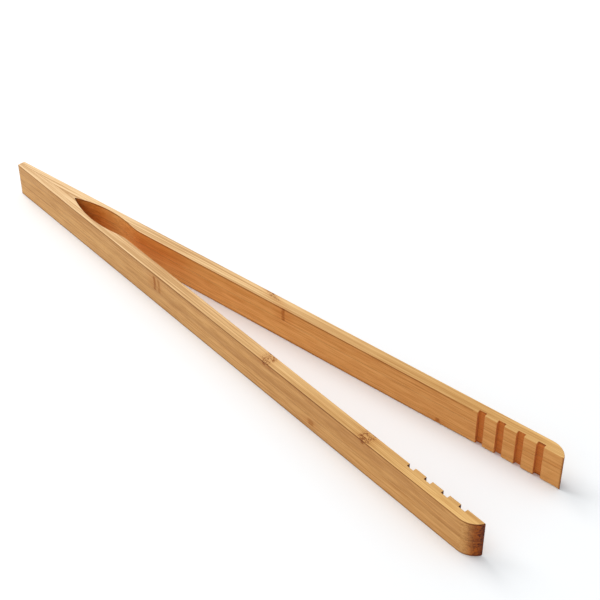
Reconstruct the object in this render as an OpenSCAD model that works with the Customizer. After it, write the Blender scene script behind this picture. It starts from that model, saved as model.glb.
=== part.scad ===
// Grooved bamboo tongs: two laminated arms glued together at the handle, each sprung by a
// thinned neck that works as a living hinge.
// X runs from the handle to the jaws, Y opens the jaws, Z is the width of the arms.
// The origin is the centre of the bottom of the whole object's box.

/* [Arms] */
// Length of each arm along its outer face
arm_len = 300; // [280:1:330]
// Width of each arm, which is the height of the tongs lying on their edges
arm_w = 16.2; // [15.5:0.1:20]
// Thickness of each arm
arm_t = 5.2; // [4.8:0.1:6]
// Angle between each outer face and the middle plane, at rest
spread = 4.87; // [4:0.01:6]
// Half thickness of the handle at its tip
tip_half = 1.87; // [1.5:0.01:2.2]

/* [Neck] */
// Distance of the thinnest place from the tip, along the outer face
neck_at = 60.5; // [58:0.5:66]
// Thickness of the neck
neck_t = 2.1; // [1.6:0.1:2.6]
// Radius of the scooped hollow
scoop_r = 60; // [55:1:70]
// Radius of the soft crest where the hollow runs out
crest_r = 30; // [20:1:40]
// Clearance between the handle part and the moving part of a strip
flex_gap = 0.3; // [0.2:0.05:0.5]

/* [Jaws] */
// Number of grooves in each jaw
groove_count = 4; // [1:1:4]
// Distance of the first groove from the tip
groove_at = 262.5; // [258:0.5:264]
// Distance from one groove to the next
groove_pitch = 8.6; // [6:0.1:8.8]
// Width of a groove
groove_w = 3.2; // [2:0.1:4]
// Depth of a groove
groove_depth = 1.55; // [0.8:0.05:2]
// Radius of the sweep from the outer face to the end of an arm
end_r = 8.5; // [6:0.1:12]
// Thickness that the sweep leaves at the very end
end_flat = 0.3; // [0.1:0.05:0.8]

/* [Lamination] */
// Height of the lower glue line of the near arm
near_split_low = 7.3; // [5:0.1:8]
// Height of the upper glue line of the near arm
near_split_top = 14.4; // [11:0.1:14.6]
// Height of the lower glue line of the far arm
far_split_low = 2.6; // [1.5:0.1:5]
// Height of the upper glue line of the far arm
far_split_top = 9.7; // [8:0.1:13]
// Thickness of a glue line
glue_t = 0.1; // [0.05:0.05:0.2]

/* [Hidden] */

near = -1;
far = 1;
half_glue = glue_t / 2;
reach = arm_len + 10;
total_len = arm_len * cos(spread) + arm_t * sin(spread);

// Centres of the scoop and of its crest, as distance along the outer face and depth inwards
scoop_centre = [neck_at, neck_t + scoop_r];
crest_down = scoop_centre.y - (arm_t - crest_r);
crest_centre = [
    neck_at + sqrt((scoop_r + crest_r) ^ 2 - crest_down ^ 2),
    arm_t - crest_r
];
crest_angle = atan2(crest_down, crest_centre.x - neck_at);

// A point of an arm on the far side, from its distance along the outer face and its depth
function on_arm(p) = [
    p.x * cos(spread) + p.y * sin(spread) - total_len / 2,
    tip_half + p.x * sin(spread) - p.y * cos(spread)
];

function arc(centre, r, from, to, steps) = [
    for (i = [0:steps])
        let (a = from + (to - from) * i / steps)
        centre + r * [cos(a), sin(a)]
];

// The crotch is where the scoop meets the glue line in the middle plane
crotch_run = sqrt(scoop_r ^ 2 - (on_arm(scoop_centre).y - half_glue) ^ 2);
crotch = [on_arm(scoop_centre).x - crotch_run, half_glue];
crotch_heading = atan2(half_glue - on_arm(scoop_centre).y, -crotch_run);
// The same place as an angle round the scoop, in the arm's own directions
crotch_angle = spread - crotch_heading;

// The sweep at the end turns through less than a quarter circle
end_turn = acos((end_r - (arm_t - end_flat)) / end_r);
end_centre = [arm_len - end_r * sin(end_turn), end_r];

groove_points = [
    for (i = [groove_count - 1:-1:0])
        let (start = groove_at + i * groove_pitch)
        each [
            [start + groove_w, arm_t],
            [start + groove_w, arm_t - groove_depth],
            [start, arm_t - groove_depth],
            [start, arm_t]
        ]
];

arm_points = concat(
    [[0, 0]],
    arc(end_centre, end_r, -90, end_turn - 90, 16),
    [[arm_len, arm_t]],
    groove_points,
    arc(crest_centre, crest_r, 90, 180 - crest_angle, 8),
    arc(scoop_centre, scoop_r, -crest_angle, crotch_angle, 28)
);

arm_outline = concat(
    [for (p = arm_points) on_arm(p)],
    [crotch, [-total_len / 2, half_glue]]
);

// A slab square to the outer face that keeps one stretch of an arm
module stretch(from, to, low, high) {
    translate([-total_len / 2, tip_half, low])
        rotate([0, 0, spread])
            translate([from, -arm_w, 0])
                cube([to - from, 2 * arm_w, high - low]);
}

// One layer of an arm between two heights
module layer(side, from, to, low, high) {
    mirror([0, side == near ? 1 : 0, 0])
        intersection() {
            translate([0, 0, low])
                linear_extrude(height = high - low)
                    polygon(arm_outline);
            stretch(from, to, low, high);
        }
}

// The part of a layer that is held in the handle
module heel(side, low, high) {
    layer(side, -10, neck_at - flex_gap / 2, low, high);
}

// The part of a layer that swings about the neck
module arm(side, low, high) {
    layer(side, neck_at + flex_gap / 2, reach, low, high);
}

module near_strip_low_heel() {
    color("#cf9e66") heel(near, 0, near_split_low - half_glue);
}

module near_strip_low_arm() {
    color("#cf9e66") arm(near, 0, near_split_low - half_glue);
}

module near_strip_mid_heel() {
    color("#c8925a") heel(near, near_split_low + half_glue, near_split_top - half_glue);
}

module near_strip_mid_arm() {
    color("#c8925a") arm(near, near_split_low + half_glue, near_split_top - half_glue);
}

module near_strip_top_heel() {
    color("#e6c28a") heel(near, near_split_top + half_glue, arm_w);
}

module near_strip_top_arm() {
    color("#e6c28a") arm(near, near_split_top + half_glue, arm_w);
}

module near_glue_low_heel() {
    color("#8a5a2c") heel(near, near_split_low - half_glue, near_split_low + half_glue);
}

module near_glue_low_arm() {
    color("#8a5a2c") arm(near, near_split_low - half_glue, near_split_low + half_glue);
}

module near_glue_top_heel() {
    color("#8a5a2c") heel(near, near_split_top - half_glue, near_split_top + half_glue);
}

module near_glue_top_arm() {
    color("#8a5a2c") arm(near, near_split_top - half_glue, near_split_top + half_glue);
}

module far_strip_low_heel() {
    color("#c8925a") heel(far, 0, far_split_low - half_glue);
}

module far_strip_low_arm() {
    color("#c8925a") arm(far, 0, far_split_low - half_glue);
}

module far_strip_mid_heel() {
    color("#cf9e66") heel(far, far_split_low + half_glue, far_split_top - half_glue);
}

module far_strip_mid_arm() {
    color("#cf9e66") arm(far, far_split_low + half_glue, far_split_top - half_glue);
}

module far_strip_top_heel() {
    color("#e6c28a") heel(far, far_split_top + half_glue, arm_w);
}

module far_strip_top_arm() {
    color("#e6c28a") arm(far, far_split_top + half_glue, arm_w);
}

module far_glue_low_heel() {
    color("#8a5a2c") heel(far, far_split_low - half_glue, far_split_low + half_glue);
}

module far_glue_low_arm() {
    color("#8a5a2c") arm(far, far_split_low - half_glue, far_split_low + half_glue);
}

module far_glue_top_heel() {
    color("#8a5a2c") heel(far, far_split_top - half_glue, far_split_top + half_glue);
}

module far_glue_top_arm() {
    color("#8a5a2c") arm(far, far_split_top - half_glue, far_split_top + half_glue);
}

// The bond between the bevelled heels of the two arms
module handle_glue() {
    color("#8a5a2c")
        translate([-total_len / 2, -half_glue, 0])
            cube([crotch.x + total_len / 2, glue_t, arm_w]);
}

near_strip_low_heel();
near_strip_low_arm();
near_strip_mid_heel();
near_strip_mid_arm();
near_strip_top_heel();
near_strip_top_arm();
near_glue_low_heel();
near_glue_low_arm();
near_glue_top_heel();
near_glue_top_arm();
far_strip_low_heel();
far_strip_low_arm();
far_strip_mid_heel();
far_strip_mid_arm();
far_strip_top_heel();
far_strip_top_arm();
far_glue_low_heel();
far_glue_low_arm();
far_glue_top_heel();
far_glue_top_arm();
handle_glue();
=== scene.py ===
"""Looks of the grooved bamboo tongs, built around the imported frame."""

import math
from collections import namedtuple

import bpy
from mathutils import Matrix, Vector


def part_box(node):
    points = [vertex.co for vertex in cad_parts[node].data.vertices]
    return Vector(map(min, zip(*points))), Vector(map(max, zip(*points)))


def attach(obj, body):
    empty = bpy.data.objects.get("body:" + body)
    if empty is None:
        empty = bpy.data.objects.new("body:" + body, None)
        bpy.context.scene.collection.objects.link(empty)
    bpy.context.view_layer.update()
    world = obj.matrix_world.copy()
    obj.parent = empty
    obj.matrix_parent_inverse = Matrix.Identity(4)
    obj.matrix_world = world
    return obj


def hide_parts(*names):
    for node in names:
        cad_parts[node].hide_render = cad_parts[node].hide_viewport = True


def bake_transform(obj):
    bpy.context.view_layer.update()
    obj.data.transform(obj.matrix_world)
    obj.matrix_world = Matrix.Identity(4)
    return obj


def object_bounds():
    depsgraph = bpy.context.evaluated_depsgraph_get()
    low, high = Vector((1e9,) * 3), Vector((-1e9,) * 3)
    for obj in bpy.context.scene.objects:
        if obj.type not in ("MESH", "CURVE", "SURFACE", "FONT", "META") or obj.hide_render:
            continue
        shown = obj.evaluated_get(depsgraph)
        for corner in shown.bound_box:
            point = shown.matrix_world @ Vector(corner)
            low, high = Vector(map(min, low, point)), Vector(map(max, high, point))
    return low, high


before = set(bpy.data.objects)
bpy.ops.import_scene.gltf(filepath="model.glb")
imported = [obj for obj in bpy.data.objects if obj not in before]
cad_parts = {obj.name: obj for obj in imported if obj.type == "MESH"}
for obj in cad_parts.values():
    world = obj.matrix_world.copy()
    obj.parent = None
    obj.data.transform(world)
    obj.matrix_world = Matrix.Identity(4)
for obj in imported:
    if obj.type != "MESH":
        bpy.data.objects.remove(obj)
cad_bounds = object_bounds()

# ---------------------------------------------------------------- sizes, in millimetres
MM = 0.001
ARM_LENGTH = 300.0
ARM_WIDTH = 16.2
ARM_THICKNESS = 5.2
SPREAD = math.radians(4.87)
TIP_HALF = 1.87
NECK_AT = 60.5
NECK_THICKNESS = 2.1
SCOOP_RADIUS = 60.0
CREST_RADIUS = 30.0
GROOVE_COUNT = 4
GROOVE_AT = 262.5
GROOVE_PITCH = 8.6
GROOVE_WIDTH = 3.2
GROOVE_DEPTH = 1.55
FLOOR_DEPTH = ARM_THICKNESS - GROOVE_DEPTH
END_RADIUS = 8.5
END_FLAT = 0.3
HALF_GLUE = 0.05

# Radii of the softened edges, the most of a strip's thickness that one may take, and
# the stretches of an arm where the inner edge grows softer
OUTER_ARRIS = 0.25
SCOOP_ARRIS = 0.18
INNER_ARRIS = 0.22
LAND_ARRIS = 0.85
JOINT_ARRIS = 0.03
ARRIS_SHARE = 0.42
ARRIS_GROWS = (80.0, 105.0)
LAND_GROWS = (225.0, 262.0)

# How far the ends of a strip are eased, the most of its thickness that this may take,
# the ease at the mouth of a groove, and how far the glue keeps back from the faces
END_EASE = 0.3
EASE_SHARE = 0.3
GROOVE_EASE = 0.06
GLUE_INSET = 0.03

# The bead of glue across the crotch: its length, how hollow it is, its slope and steps
BEAD = 0.5
BEAD_HOLLOW = 0.45
BEAD_SLOPE = math.tan(math.radians(20))
BEAD_STEPS = 8

# Steps of the meshes, and the distance of the lines that hold an edge's shading
ARC_STEPS = 5
END_STEPS = 16
HANDLE_FROM = 1.5
HANDLE_STEP = 2.6
FINE_STEP = 0.8
PAST_CREST = 4.0
COARSE_STEP = 5.0
SUPPORT = 0.12
SUPPORT_SHARE = 0.05
SHARP = math.radians(32)

NEAR, FAR = -1, 1
SIDES = {"near": NEAR, "far": FAR}
TIP_X = cad_bounds[0].x / MM

# Camera: where it stands, what it looks at, its roll and its angle of view
CAMERA_AT = (0.33284, -0.29151, 0.36693)
CAMERA_TARGET = (0.01024, 0.02681, 0.0081)
CAMERA_ROLL = math.radians(-0.26)
CAMERA_ANGLE = math.radians(24.67)

# Light and floor, in metres and watts
WORLD_STRENGTH = 0.78
KEY_AT = (-1.5, -0.1, 1.4)
KEY_SIZE = 1.6
KEY_POWER = 29.0
FLOOR_HALF = 4.0
FLOOR_HEIGHT = -0.00005


# ---------------------------------------------------------------- the shape of an arm
def to_local(x, y):
    """Distance along the outer face and depth inwards, of a point measured from the tip."""
    across = y - TIP_HALF
    return (
        x * math.cos(SPREAD) + across * math.sin(SPREAD),
        x * math.sin(SPREAD) - across * math.cos(SPREAD),
    )


def to_part(side, along, depth, height):
    """A point of an arm in the row frame, in metres."""
    x = TIP_X + along * math.cos(SPREAD) + depth * math.sin(SPREAD)
    y = TIP_HALF + along * math.sin(SPREAD) - depth * math.cos(SPREAD)
    return Vector((x, side * y, height)) * MM


# Depth of the scoop's centre, how far the crest's centre is below it, and where the
# crest tops out and meets the scoop
SCOOP_UP = NECK_THICKNESS + SCOOP_RADIUS
CREST_DOWN = SCOOP_UP - (ARM_THICKNESS - CREST_RADIUS)
CREST_AT = NECK_AT + math.sqrt((SCOOP_RADIUS + CREST_RADIUS) ** 2 - CREST_DOWN**2)
TANGENT_AT = NECK_AT + (CREST_AT - NECK_AT) * SCOOP_RADIUS / (SCOOP_RADIUS + CREST_RADIUS)

# The sweep from the outer face to the end of an arm
END_TURN = math.acos(1 - (ARM_THICKNESS - END_FLAT) / END_RADIUS)
SWEEP_FROM = ARM_LENGTH - END_RADIUS * math.sin(END_TURN)

# The crotch, where the scoop meets the middle plane, measured from the tip
SCOOP_X = NECK_AT * math.cos(SPREAD) + SCOOP_UP * math.sin(SPREAD)
SCOOP_Y = TIP_HALF + NECK_AT * math.sin(SPREAD) - SCOOP_UP * math.cos(SPREAD)
CROTCH = SCOOP_X - math.sqrt(SCOOP_RADIUS**2 - (SCOOP_Y - HALF_GLUE) ** 2)


def inner_depth(along):
    """Depth of the inner face past the crotch."""
    if along < TANGENT_AT:
        return SCOOP_UP - math.sqrt(SCOOP_RADIUS**2 - (along - NECK_AT) ** 2)
    if along < CREST_AT:
        rise = math.sqrt(CREST_RADIUS**2 - (along - CREST_AT) ** 2)
        return ARM_THICKNESS - CREST_RADIUS + rise
    return ARM_THICKNESS


def ease_in(value, start, end):
    """0 before start, 1 after end and a smooth step between."""
    t = min(1.0, max(0.0, (value - start) / (end - start)))
    return t * t * (3 - 2 * t)


def inner_arris(side, along):
    """Radius of the inner edge, which is softest on the far arm's jaw."""
    radius = SCOOP_ARRIS + (INNER_ARRIS - SCOOP_ARRIS) * ease_in(along, *ARRIS_GROWS)
    if side == FAR:
        radius += (LAND_ARRIS - INNER_ARRIS) * ease_in(along, *LAND_GROWS)
    return radius


def steps(start, end, size):
    """Even steps from start to end, each about the size asked for."""
    count = max(1, round((end - start) / size))
    return [start + (end - start) * i / count for i in range(count + 1)]


def stations(side):
    """Cross-sections from tip to jaw: outer point, inner point, inner arris and inset."""
    found = []
    for x in [0.0, END_EASE, *steps(HANDLE_FROM, CROTCH, HANDLE_STEP)]:
        outer = (x / math.cos(SPREAD), 0.0)
        inset = END_EASE if x == 0.0 else 0.0
        found.append((outer, to_local(x, HALF_GLUE), JOINT_ARRIS, inset))
    past_crotch = to_local(CROTCH, HALF_GLUE)[0] + FINE_STEP
    fine = steps(past_crotch, CREST_AT + PAST_CREST, FINE_STEP)
    coarse = steps(CREST_AT + 2 * PAST_CREST, SWEEP_FROM, COARSE_STEP)
    for along in fine + coarse:
        inner = (along, inner_depth(along))
        found.append(((along, 0.0), inner, inner_arris(side, along), 0.0))
    for i in range(1, END_STEPS + 1):
        turn = END_TURN * i / END_STEPS
        along = SWEEP_FROM + END_RADIUS * math.sin(turn)
        depth = END_RADIUS * (1 - math.cos(turn))
        inset = END_EASE if i == END_STEPS else 0.0
        arris = inner_arris(side, along)
        found.append(((along, depth), (along, ARM_THICKNESS), arris, inset))
    return found


def section(thickness, low, high, open_low, open_high, arris, inset):
    """Closed outline across one strip, as (depth from the outer point, height) pairs."""
    left = min(inset, EASE_SHARE * thickness)
    low += inset if open_low else 0.0
    high -= inset if open_high else 0.0
    limit = ARRIS_SHARE * (thickness - left)
    outer_low = min(limit, OUTER_ARRIS if open_low else JOINT_ARRIS)
    outer_high = min(limit, OUTER_ARRIS if open_high else JOINT_ARRIS)
    inner_low = min(limit, arris if open_low else JOINT_ARRIS)
    inner_high = min(limit, arris if open_high else JOINT_ARRIS)
    support = min(SUPPORT, SUPPORT_SHARE * (thickness - left))
    corners = [
        (left + outer_high, high - outer_high, outer_high, math.pi),
        (thickness - inner_high, high - inner_high, inner_high, math.pi / 2),
        (thickness - inner_low, low + inner_low, inner_low, 0.0),
        (left + outer_low, low + outer_low, outer_low, -math.pi / 2),
    ]
    outline = []
    for across, up, radius, start in corners:
        arc = []
        for i in range(ARC_STEPS + 1):
            turn = start - math.pi / 2 * i / ARC_STEPS
            arc.append((across + radius * math.cos(turn), up + radius * math.sin(turn)))
        into = (math.sin(start), -math.cos(start))
        out = (-math.cos(start), -math.sin(start))
        before = (arc[0][0] - support * into[0], arc[0][1] - support * into[1])
        after = (arc[-1][0] + support * out[0], arc[-1][1] + support * out[1])
        outline += [before, *arc, after]
    return outline


def thin_section(thickness, low, high, inset):
    """The same for a glue line, which is too thin for rounded corners."""
    start = min(inset, EASE_SHARE * thickness) + GLUE_INSET
    end = thickness - GLUE_INSET
    return [(start, high), (end, high), (end, low), (start, low)]


def mesh_object(name, points, faces):
    mesh = bpy.data.meshes.new(name)
    mesh.from_pydata([tuple(p) for p in points], [], faces)
    mesh.validate()
    made = bpy.data.objects.new(name, mesh)
    bpy.context.scene.collection.objects.link(made)
    return made


def loft(name, rings, flip):
    """A closed solid through rings of equally many points."""
    count = len(rings[0])
    points = [p for ring in rings for p in ring]
    faces = []
    for r in range(len(rings) - 1):
        for i in range(count):
            j = (i + 1) % count
            quad = [r * count + i, r * count + j, (r + 1) * count + j, (r + 1) * count + i]
            faces.append(quad if flip else quad[::-1])
    first = list(range(count))
    last = [(len(rings) - 1) * count + i for i in range(count)]
    faces.append(first[::-1] if flip else first)
    faces.append(last if flip else last[::-1])
    return mesh_object(name, points, faces)


def layer(name, side, low, high, open_low=False, open_high=False, thin=False):
    """One strip or glue line of an arm, from tip to jaw, with its grooves cut."""
    rings = []
    for outer, inner, arris, inset in stations(side):
        thickness = math.dist(outer, inner)
        toward = ((inner[0] - outer[0]) / thickness, (inner[1] - outer[1]) / thickness)
        if thin:
            outline = thin_section(thickness, low, high, inset)
        else:
            outline = section(thickness, low, high, open_low, open_high, arris, inset)
        ring = []
        for across, height in outline:
            along = outer[0] + toward[0] * across
            depth = outer[1] + toward[1] * across
            ring.append(to_part(side, along, depth, height))
        rings.append(ring)
    made = loft(name, rings, side == FAR)
    cut_grooves(made, side)
    return made


def cut_grooves(piece, side):
    """Cuts the jaw grooves, with a small ease at each mouth."""
    points, faces = [], []
    past = 1.0
    lip = ARM_THICKNESS - GROOVE_EASE
    flare = GROOVE_EASE + past
    for i in range(GROOVE_COUNT):
        start = GROOVE_AT + i * GROOVE_PITCH
        end = start + GROOVE_WIDTH
        outline = [
            (start, FLOOR_DEPTH), (end, FLOOR_DEPTH), (end, lip),
            (end + flare, lip + flare), (start - flare, lip + flare), (start, lip),
        ]
        base, count = len(points), len(outline)
        for height in (-past, ARM_WIDTH + past):
            points += [to_part(side, along, depth, height) for along, depth in outline]
        bottom = [base + k for k in range(count)]
        top = [base + count + k for k in range(count)]
        new_faces = [bottom[::-1], top]
        for k in range(count):
            m = (k + 1) % count
            new_faces.append([bottom[k], bottom[m], top[m], top[k]])
        faces += [f[::-1] for f in new_faces] if side == FAR else new_faces
    cutter = mesh_object("groove_cutter", points, faces)
    modifier = piece.modifiers.new("grooves", "BOOLEAN")
    modifier.operation = "DIFFERENCE"
    modifier.solver = "EXACT"
    modifier.object = cutter
    graph = bpy.context.evaluated_depsgraph_get()
    cut = bpy.data.meshes.new_from_object(piece.evaluated_get(graph))
    piece.modifiers.clear()
    piece.data = cut
    bpy.data.objects.remove(cutter)


def finish_mesh(piece, side):
    """Smooth shading with crisp edges, and the grain's own coordinates in millimetres."""
    mesh = piece.data
    mesh.shade_smooth()
    mesh.set_sharp_from_angle(angle=SHARP)
    grain = mesh.attributes.new("grain", "FLOAT_VECTOR", "POINT")
    values = []
    for vertex in mesh.vertices:
        x, y, z = vertex.co / MM
        along, depth = to_local(x - TIP_X, side * y)
        values += [along, depth, z]
    grain.data.foreach_set("vector", values)


# ---------------------------------------------------------------- materials
class Graph:
    """A short way to write a material's nodes."""

    def __init__(self, name):
        self.material = bpy.data.materials.new(name)
        self.material.use_nodes = True
        self.tree = self.material.node_tree
        self.shader = self.tree.nodes["Principled BSDF"]

    def put(self, socket, value):
        if isinstance(value, bpy.types.NodeSocket):
            self.tree.links.new(value, socket)
        else:
            socket.default_value = value

    def math(self, operation, *values, clamp=False):
        node = self.tree.nodes.new("ShaderNodeMath")
        node.operation = operation
        node.use_clamp = clamp
        for socket, value in zip(node.inputs, values):
            self.put(socket, value)
        return node.outputs[0]

    def times(self, first, *others):
        """The product of all the values."""
        for other in others:
            first = self.math("MULTIPLY", first, other)
        return first

    def apart(self, a, b):
        """How far a is from b, either way."""
        return self.math("ABSOLUTE", self.math("SUBTRACT", a, b))

    def vector(self, operation, *values):
        node = self.tree.nodes.new("ShaderNodeVectorMath")
        node.operation = operation
        for socket, value in zip(node.inputs, values):
            self.put(socket, value)
        return node.outputs[0]

    def smooth(self, value, low, high, start=0.0, end=1.0):
        """start where value is low, end where it is high, and a smooth step between."""
        node = self.tree.nodes.new("ShaderNodeMapRange")
        node.interpolation_type = "SMOOTHSTEP"
        for socket, number in zip(node.inputs, (value, low, high, start, end)):
            self.put(socket, number)
        return node.outputs[0]

    def mix(self, factor, a, b, blend="MIX"):
        node = self.tree.nodes.new("ShaderNodeMix")
        node.data_type = "RGBA"
        node.blend_type = blend
        self.put(node.inputs[0], factor)
        self.put(node.inputs[6], a)
        self.put(node.inputs[7], b)
        return node.outputs[2]

    def tint(self, factor, colour, by):
        """colour multiplied by another, as far as factor says."""
        return self.mix(factor, colour, by, "MULTIPLY")

    def noise(self, place, scale, detail=2.0, distortion=0.0):
        node = self.tree.nodes.new("ShaderNodeTexNoise")
        self.put(node.inputs["Vector"], self.vector("MULTIPLY", place, scale))
        self.put(node.inputs["Scale"], 1.0)
        self.put(node.inputs["Detail"], detail)
        self.put(node.inputs["Distortion"], distortion)
        return node.outputs["Fac"]

    def cells(self, place, scale):
        node = self.tree.nodes.new("ShaderNodeTexVoronoi")
        self.put(node.inputs["Vector"], self.vector("MULTIPLY", place, scale))
        self.put(node.inputs["Scale"], 1.0)
        return node.outputs["Distance"]

    def split(self, vector):
        node = self.tree.nodes.new("ShaderNodeSeparateXYZ")
        self.put(node.inputs[0], vector)
        return node.outputs

    def attribute(self, name):
        node = self.tree.nodes.new("ShaderNodeAttribute")
        node.attribute_name = name
        return node.outputs["Vector"]

    def facing(self, axis, low, high):
        """0 where a face is turned off an axis, 1 where it is turned along it."""
        normal = self.tree.nodes.new("ShaderNodeNewGeometry").outputs["Normal"]
        return self.smooth(self.math("ABSOLUTE", self.split(normal)[axis]), low, high)

    def set(self, name, value):
        """Gives one of the shader's inputs its value."""
        self.put(self.shader.inputs[name], value)


# Sanded faces by which way they were cut: dark and light fibres at the handle end. The inner
# faces' stronger orange is partly painted bounce light, the edge faces' paleness partly painted
# light from above
OUTER_FACE = ((0.505, 0.252, 0.082, 1), (0.690, 0.396, 0.152, 1))
INNER_FACE = ((0.82, 0.398, 0.102, 1), (1.00, 0.570, 0.188, 1))
EDGE_FACE = ((0.56, 0.335, 0.150, 1), (0.80, 0.560, 0.310, 1))
# End grain at the jaw and at the tip, and the sawn floors and walls of the grooves. The jaw's end
# grain and the floors are partly painted shade; the near walls' darkness and the far walls'
# paleness are painted shade and light
END_FACE = ((0.165, 0.033, 0.002, 1), (0.38, 0.095, 0.008, 1))
TIP_END = ((0.17, 0.065, 0.015, 1), (0.36, 0.150, 0.042, 1))
SAWN_AND_SHADED_FLOOR = (0.66, 0.22, 0.042, 1)
WALL_GRAIN_AND_SHADE = {NEAR: (0.14, 0.045, 0.010, 1), FAR: (0.60, 0.21, 0.055, 1)}
# What the colour is multiplied by: at the jaw end of each face (partly tone, partly painted
# fall-off of the light), in the scoop and on its crest (painted shade), on dark fibres and along
# the edges
JAW_OUTER = (0.94, 0.87, 0.77, 1)
JAW_INNER = (0.72, 0.63, 0.60, 1)
JAW_EDGE = (0.93, 0.82, 0.56, 1)
SCOOP_SHADE_TINT = (0.94, 0.70, 0.46, 1)
FIBRE_TINT = (0.72, 0.56, 0.38, 1)
ARRIS_TINT = (0.52, 0.40, 0.27, 1)
# And on a knuckle's lines, on the stain round them, on its eye, and on cut bundles
LINE_TINT = (0.66, 0.46, 0.24, 1)
HALO_TINT = (0.88, 0.74, 0.60, 1)
EYE_TINT = (0.42, 0.23, 0.09, 1)
SPECKLE_TINT = (0.36, 0.22, 0.14, 1)
# Glue, dark and light, and what it is multiplied by on the ends
GLUE_BROWN = ((0.33, 0.15, 0.045, 1), (0.45, 0.24, 0.08, 1))
GLUE_END_TINT = (0.30, 0.20, 0.12, 1)
FLOOR_WHITE = ((0.88, 0.90, 0.915, 1), (0.89, 0.91, 0.925, 1))
# Specular level of sanded wood and of glue
SHEEN = 0.15

# Noise: how fast it changes along a strip, into it and up it, per millimetre, and how
# far each strip's own piece of noise lies from the next
BAND_SCALE = (0.012, 0.10, 0.30)
STREAK_SCALE = (0.011, 1.20, 1.20)
FIBRE_SCALE = (0.05, 5.0, 5.0)
BUNDLE_SCALE = (0.02, 1.5, 1.5)
MOTTLE_SCALE = (0.12, 1.1, 1.1)
CLUMP_SCALE = (0.9, 0.9, 0.9)
WAVER_SCALE = (0.3, 0.5, 0.5)
PATCH_SCALE = (0.4, 0.5, 0.5)
CURL_SCALE = (0.75, 1.5, 1.5)
GLUE_SCALE = (0.25, 0.8, 0.8)
FLOOR_SCALE = (3.0, 3.0, 3.0)
SEED_STEP = (37.0, 5.3, 7.9)

# How far a face is turned up or along the tongs before it counts as an edge or an end
EDGE_FACING = (0.45, 0.75)
END_FACING = (0.12, 0.72)
GLUE_END_FACING = (0.12, 0.70)

# Where the looks change along an arm, in millimetres from the tip
OFF_TIP = (2.0, 6.0)
# Painted light: faces darken towards the jaw, partly the strip's own tone, partly painted fall-off
# of the light
TOWARD_JAW = (20.0, ARM_LENGTH)
# Painted shade: where the inner face is darkened in the scoop by the crotch and on its crest
SCOOP_ENDS = (52.0, 68.0)
CREST_MIDDLE = 92.0
CREST_FADES = (4.0, 30.0)
LINES_FADE = (120.0, 175.0)
JAW_FROM = GROOVE_AT - 2.0
GROOVES_TO = GROOVE_AT + (GROOVE_COUNT - 1) * GROOVE_PITCH + GROOVE_WIDTH + 0.5
LANDS_TO = ARM_LENGTH - 1.0
# Up an arm's width, through its thickness, and inwards from its edges
CREST_HEIGHTS = (2.0, 12.0)
INNER_FROM = (1.2, 2.0)
CLUMPS_FROM = (1.0, 3.5)
ON_FLOOR = (0.05, 0.25)
EDGE_LINE_FADES = (0.25, 1.05)
# A knuckle: how far its line wanders, the space between a pair of lines, the core and
# the rim of a line, the stain, the eye, and how softly its limits fade
KNUCKLE_WANDER = 1.6
KNUCKLE_PAIR = 3.3
LINE_CORE, LINE_RIM = 0.35, 1.25
STAIN_FADES = (1.0, 8.0)
EYE_FADES = (1.8, 3.8)
KNUCKLE_SOFT = 0.8

# Height of the fine relief, in metres
RELIEF = 0.00008


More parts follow.
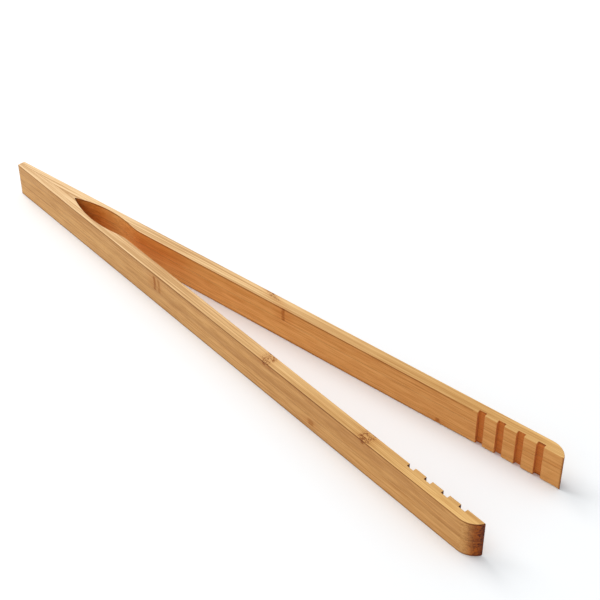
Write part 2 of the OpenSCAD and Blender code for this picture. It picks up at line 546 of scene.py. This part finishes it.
class Bamboo(Graph):
    """Sanded bamboo: fibre lines and bundles along the strip, and dark knuckles."""

    def __init__(self, name, seed, tone, side, knuckles):
        super().__init__(name)
        grain = self.attribute("grain")
        self.along, self.depth, self.height = self.split(grain)
        self.place = self.vector("ADD", grain, tuple(seed * step for step in SEED_STEP))
        self.edge_face = self.facing(2, *EDGE_FACING)
        self.flat_face = self.math("SUBTRACT", 1.0, self.edge_face)
        self.in_jaw = self.math("GREATER_THAN", self.along, JAW_FROM)
        self.streak = self.noise(self.place, STREAK_SCALE, 2.0, 0.1)
        self.fibre = self.noise(self.place, FIBRE_SCALE)
        self.dots = self.bundles()
        self.light = self.fibre_tone(tone)

        # Partly painted light: faces turned up or down get the paler edge palette, standing partly
        # for light from above
        colour = self.mix(self.edge_face, self.broad_colour(), self.edge_colour())
        colour = self.mix(self.facing(0, *END_FACING), colour, self.end_colour(side))
        colour = self.mark_fibres_and_edges(colour)
        relief = self.math("ADD", self.times(self.fibre, 0.5), self.times(self.dots, -0.5))
        for knuckle in knuckles:
            colour, relief = self.add_knuckle(colour, relief, knuckle)

        self.set("Base Color", colour)
        self.set("Roughness", self.smooth(self.streak, 0.3, 0.7, 0.50, 0.64))
        self.set("Specular IOR Level", SHEEN)
        bump = self.tree.nodes.new("ShaderNodeBump")
        self.put(bump.inputs["Strength"], 0.35)
        self.put(bump.inputs["Distance"], RELIEF)
        self.put(bump.inputs["Height"], relief)
        self.set("Normal", bump.outputs[0])

    def bundles(self):
        """Fibre bundles, which stand closer and larger towards the outer face."""
        crowd = self.smooth(self.depth, 0.0, ARM_THICKNESS, 0.34, 0.22)
        cells = self.cells(self.place, BUNDLE_SCALE)
        return self.smooth(cells, self.times(crowd, 0.6), crowd, 1.0, 0.0)

    def fibre_tone(self, tone):
        """Broad bands, mottling and fine lines, which show most on the edges at the back."""
        bands = self.smooth(self.noise(self.place, BAND_SCALE, 3.0), 0.25, 0.75, -0.30, 0.30)
        mottle = self.noise(self.place, MOTTLE_SCALE, 3.0)
        mottle = self.times(self.smooth(mottle, 0.30, 0.70, -0.26, 0.26), self.flat_face)
        fade = self.smooth(self.along, *LINES_FADE, 0.60, 0.28)
        reach = self.math("MAXIMUM", self.times(self.edge_face, fade), 0.18)
        lines = self.times(self.smooth(self.streak, 0.38, 0.62, -1.0, 1.0), reach)
        about = self.math("ADD", mottle, 0.5 + tone)
        return self.math("ADD", self.math("ADD", bands, lines), about, clamp=True)

    def toward_jaw(self, face, tint):
        """A face's colour, going from what it is at the tip to what it is at the jaw: partly the
        strip's tone, partly painted fall-off of the light.
        """
        return self.tint(self.smooth(self.along, *TOWARD_JAW), self.mix(self.light, *face), tint)

    def edge_colour(self):
        return self.toward_jaw(EDGE_FACE, JAW_EDGE)

    def broad_colour(self):
        """The outer and inner faces, with painted shade in the scoop, and the sawn floors of the
        grooves, which carry painted shade too.
        """
        outer = self.toward_jaw(OUTER_FACE, JAW_OUTER)
        inner = self.toward_jaw(INNER_FACE, JAW_INNER)
        # Painted shade: the inner face darker and redder deep in the scoop and high on its crest
        deepest = self.smooth(self.along, *SCOOP_ENDS, 1.0, 0.0)
        crest = self.smooth(self.apart(self.along, CREST_MIDDLE), *CREST_FADES, 0.85, 0.0)
        crest = self.times(crest, self.smooth(self.height, *CREST_HEIGHTS, 0.15, 1.0))
        inner = self.tint(self.math("MAXIMUM", deepest, crest), inner, SCOOP_SHADE_TINT)
        # Partly painted light: the inner face's own palette stands partly for orange bounce light
        # between the arms
        broad = self.mix(self.smooth(self.depth, *INNER_FROM), outer, inner)
        # Partly painted shade: the groove floors are sawn wood darkened further as shade in the
        # recess
        on_floor = self.smooth(self.apart(self.depth, FLOOR_DEPTH), *ON_FLOOR, 1.0, 0.0)
        return self.mix(self.times(on_floor, self.in_jaw), broad, SAWN_AND_SHADED_FLOOR)

    def end_colour(self, side):
        """End grain, with the bundles cut across, and the walls of the grooves. The near arm's
        walls are end grain darkened with painted shade, the far arm's lightened with painted
        light.
        """
        clump = self.smooth(self.noise(self.place, CLUMP_SCALE), 0.50, 0.60)
        clump = self.times(clump, self.smooth(self.depth, *CLUMPS_FROM))
        off_tip = self.smooth(self.along, *OFF_TIP)
        # Partly painted shade: the jaw's end grain is darker than its grain alone, for the end
        # turned away from the light
        colour = self.mix(off_tip, self.mix(self.light, *TIP_END), self.mix(self.light, *END_FACE))
        colour = self.tint(self.math("MAXIMUM", self.dots, clump), colour, SPECKLE_TINT)
        before_end = self.math("LESS_THAN", self.along, GROOVES_TO)
        above_floor = self.math("GREATER_THAN", self.depth, FLOOR_DEPTH - 0.1)
        # Painted light and shade over end grain: near-arm groove walls dark, far-arm groove walls
        # lighter
        walls = self.tint(self.times(self.dots, 0.5), WALL_GRAIN_AND_SHADE[side], SPECKLE_TINT)
        return self.mix(self.times(self.in_jaw, before_end, above_floor), colour, walls)

    def mark_fibres_and_edges(self, colour):
        """Fine fibres, bundles cut along, and a darker line along each edge, which is faint on the
        jaw's lands."""
        colour = self.tint(self.smooth(self.fibre, 0.48, 0.66, 0.0, 0.75), colour, FIBRE_TINT)
        colour = self.tint(self.times(self.dots, 0.40), colour, FIBRE_TINT)
        from_top = self.math("SUBTRACT", ARM_WIDTH, self.height)
        from_end = self.math("SUBTRACT", ARM_LENGTH + 0.1, self.along)
        from_edge = self.math("MINIMUM", self.math("MINIMUM", self.height, from_top), from_end)
        above_floor = self.math("GREATER_THAN", self.depth, FLOOR_DEPTH)
        before_end = self.math("LESS_THAN", self.along, LANDS_TO)
        on_land = self.times(self.in_jaw, above_floor, before_end)
        strength = self.smooth(on_land, 0.0, 1.0, 1.0, 0.25)
        edge_line = self.smooth(from_edge, *EDGE_LINE_FADES, 1.0, 0.0)
        return self.tint(self.times(edge_line, self.flat_face, strength), colour, ARRIS_TINT)

    def add_knuckle(self, colour, relief, knuckle):
        """A knuckle: brown lines across the broad faces, and a curly eye on an edge."""
        waver = self.noise(self.place, WAVER_SCALE)
        wander = self.times(self.math("SUBTRACT", waver, 0.5), KNUCKLE_WANDER)
        lean = self.math("SUBTRACT", self.depth, ARM_THICKNESS / 2)
        lean = self.times(lean, knuckle.slant)
        centre = self.math("ADD", self.math("ADD", lean, wander), knuckle.at)
        past = self.math("SUBTRACT", self.along, centre)
        gap = self.math("ABSOLUTE", past)
        within = self.times(
            self.smooth(self.height, knuckle.low, knuckle.low + KNUCKLE_SOFT),
            self.smooth(self.height, knuckle.high - KNUCKLE_SOFT, knuckle.high, 1.0, 0.0),
        )

        core, rim = LINE_CORE * knuckle.width, LINE_RIM * knuckle.width
        first = self.smooth(gap, core, rim, 1.0, 0.0)
        second = self.smooth(self.apart(past, KNUCKLE_PAIR), core, rim, knuckle.second, 0.0)
        patchy = self.smooth(self.noise(self.place, PATCH_SCALE), 0.35, 0.60, 0.60, 1.0)
        both = self.math("MAXIMUM", first, second)
        line = self.times(both, patchy, within, self.flat_face)
        halo = self.times(self.smooth(gap, *STAIN_FADES, 0.55, 0.0), within)

        curl = self.smooth(self.noise(self.place, CURL_SCALE, 2.0, 1.6), 0.50, 0.57)
        window = self.smooth(gap, *EYE_FADES, 1.0, 0.0)
        deep = self.smooth(self.depth, knuckle.eye_to - KNUCKLE_SOFT, knuckle.eye_to, 1.0, 0.0)
        eye = self.times(curl, window, self.edge_face, deep)

        colour = self.tint(halo, colour, HALO_TINT)
        colour = self.tint(line, colour, LINE_TINT)
        colour = self.tint(eye, colour, EYE_TINT)
        mark = self.math("MAXIMUM", line, eye)
        return colour, self.math("SUBTRACT", relief, self.times(mark, 0.8))


def glue_material():
    """Cured glue: brown, with small breaks in its tone, and darker on the ends."""
    g = Graph("glue_brown")
    patches = g.noise(g.attribute("grain"), GLUE_SCALE, 3.0)
    colour = g.mix(g.smooth(patches, 0.35, 0.65), *GLUE_BROWN)
    g.set("Base Color", g.tint(g.facing(0, *GLUE_END_FACING), colour, GLUE_END_TINT))
    g.set("Roughness", g.smooth(patches, 0.3, 0.7, 0.45, 0.60))
    g.set("Specular IOR Level", SHEEN)
    return g.material


def floor_material():
    g = Graph("floor_white")
    place = g.tree.nodes.new("ShaderNodeTexCoord").outputs["Object"]
    g.set("Base Color", g.mix(g.smooth(g.noise(place, FLOOR_SCALE), 0.3, 0.7), *FLOOR_WHITE))
    g.set("Roughness", 0.9)
    g.set("Specular IOR Level", 0.0)
    return g.material


# ---------------------------------------------------------------- the pieces
# Where a knuckle crosses a strip, how it leans through the thickness, how strong its
# second line is, how wide the lines are, the heights that they keep within and the
# depth that the eye reaches
Knuckle = namedtuple("Knuckle", "at slant second width low high eye_to")
EYE = {"slant": 0.0, "second": 0.4, "width": 1.0, "low": 14.0, "high": 17.0, "eye_to": 9.0}

# Each strip's tone, material slot and knuckles
STRIPS = {
    "near": {
        "low": (0.20, "bamboo_tan", [Knuckle(213.5, 0.0, 0.0, 1.8, 2.4, 6.0, 9.0)]),
        "mid": (-0.04, "bamboo_brown", [Knuckle(111.0, 0.0, 0.8, 1.0, 7.0, 15.2, 9.0)]),
        "top": (0.0, "bamboo_pale", [Knuckle(185.2, **EYE), Knuckle(242.6, **EYE)]),
    },
    "far": {
        "low": (0.0, "bamboo_brown", [Knuckle(245.0, 0.0, 0.0, 1.4, 0.4, 3.0, 9.0)]),
        "mid": (0.12, "bamboo_tan", [Knuckle(36.0, 0.0, 0.8, 1.0, 2.4, 10.0, 9.0)]),
        "top": (0.0, "bamboo_pale", [Knuckle(160.3, 2.3, 0.0, 1.0, 9.2, 17.0, 2.8)]),
    },
}
GLUE_LINES = ("low", "top")


def bend(piece):
    """Bakes the piece's placement into its mesh; the piece is not bent."""
    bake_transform(piece)


def add_layer(side_name, kind, material, slot, **shape):
    """One strip or glue line, in place of its heel and its arm."""
    side = SIDES[side_name]
    name = f"{side_name}_{kind}"
    heel, arm = f"{name}_heel", f"{name}_arm"
    low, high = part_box(arm)[0].z / MM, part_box(arm)[1].z / MM
    piece = layer(name, side, low, high, **shape)
    finish_mesh(piece, side)
    piece.data.materials.append(material)
    bend(piece)
    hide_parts(heel, arm)


def build_arm(side_name, seed, glue):
    for order, (level, (tone, slot, knuckles)) in enumerate(STRIPS[side_name].items()):
        name = f"bamboo_{side_name}_{level}"
        wood = Bamboo(name, seed + order, tone, SIDES[side_name], knuckles).material
        opens = {"open_low": level == "low", "open_high": level == "top"}
        add_layer(side_name, f"strip_{level}", wood, slot, **opens)
    for level in GLUE_LINES:
        add_layer(side_name, f"glue_{level}", glue, "glue", thin=True)


def build_handle_glue(glue):
    """The bond between the heels, with a small bead across the crotch."""
    start, crotch = TIP_X + GLUE_INSET, TIP_X + CROTCH
    half = HALF_GLUE + BEAD * BEAD_SLOPE
    bead = []
    for i in range(BEAD_STEPS + 1):
        share = 2 * i / BEAD_STEPS - 1
        out = BEAD * (1 - BEAD_HOLLOW + BEAD_HOLLOW * share * share)
        bead.append((crotch + out, half * share))
    outline = [
        (start, -HALF_GLUE), (crotch, -HALF_GLUE), *bead,
        (crotch, HALF_GLUE), (start, HALF_GLUE),
    ]
    heights = (
        GLUE_INSET, END_EASE, ARM_WIDTH / 2, ARM_WIDTH - END_EASE, ARM_WIDTH - GLUE_INSET
    )
    rings = [[Vector((x, y, height)) * MM for x, y in outline] for height in heights]
    piece = loft("handle_glue_line", rings, True)
    finish_mesh(piece, FAR)
    piece.data.materials.append(glue)
    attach(piece, "handle")
    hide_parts("handle_glue")


# ---------------------------------------------------------------- camera, light and floor
def turn_to(thing, place, target):
    """Puts a camera or a lamp in its place, turned to its target."""
    thing.location = place
    look = Vector(target) - Vector(place)
    thing.rotation_euler = look.to_track_quat("-Z", "Y").to_euler()


def add_camera():
    data = bpy.data.cameras.new("camera")
    data.sensor_fit = "HORIZONTAL"
    data.angle = CAMERA_ANGLE
    data.clip_start, data.clip_end = 0.01, 20.0
    camera = bpy.data.objects.new("camera", data)
    bpy.context.scene.collection.objects.link(camera)
    turn_to(camera, CAMERA_AT, CAMERA_TARGET)
    camera.rotation_euler.rotate_axis("Z", CAMERA_ROLL)
    bpy.context.scene.camera = camera


def add_world():
    world = bpy.data.worlds.new("studio")
    world.use_nodes = True
    background = world.node_tree.nodes["Background"]
    background.inputs["Color"].default_value = (1, 1, 1, 1)
    background.inputs["Strength"].default_value = WORLD_STRENGTH
    bpy.context.scene.world = world
    bpy.context.scene.view_settings.view_transform = "Standard"


def add_key_light():
    data = bpy.data.lights.new("key", "AREA")
    data.shape = "DISK"
    data.size = KEY_SIZE
    data.energy = KEY_POWER
    lamp = bpy.data.objects.new("key", data)
    bpy.context.scene.collection.objects.link(lamp)
    turn_to(lamp, KEY_AT, (0.0, 0.0, 0.0))


def add_floor():
    signs = ((-1, -1), (1, -1), (1, 1), (-1, 1))
    corners = [(FLOOR_HALF * x, FLOOR_HALF * y, FLOOR_HEIGHT) for x, y in signs]
    floor = mesh_object("floor", corners, [[0, 1, 2, 3]])
    floor.data.materials.append(floor_material())


add_camera()
add_world()
add_key_light()
add_floor()
brown_glue = glue_material()
build_arm("near", 1, brown_glue)
build_arm("far", 5, brown_glue)
build_handle_glue(brown_glue)
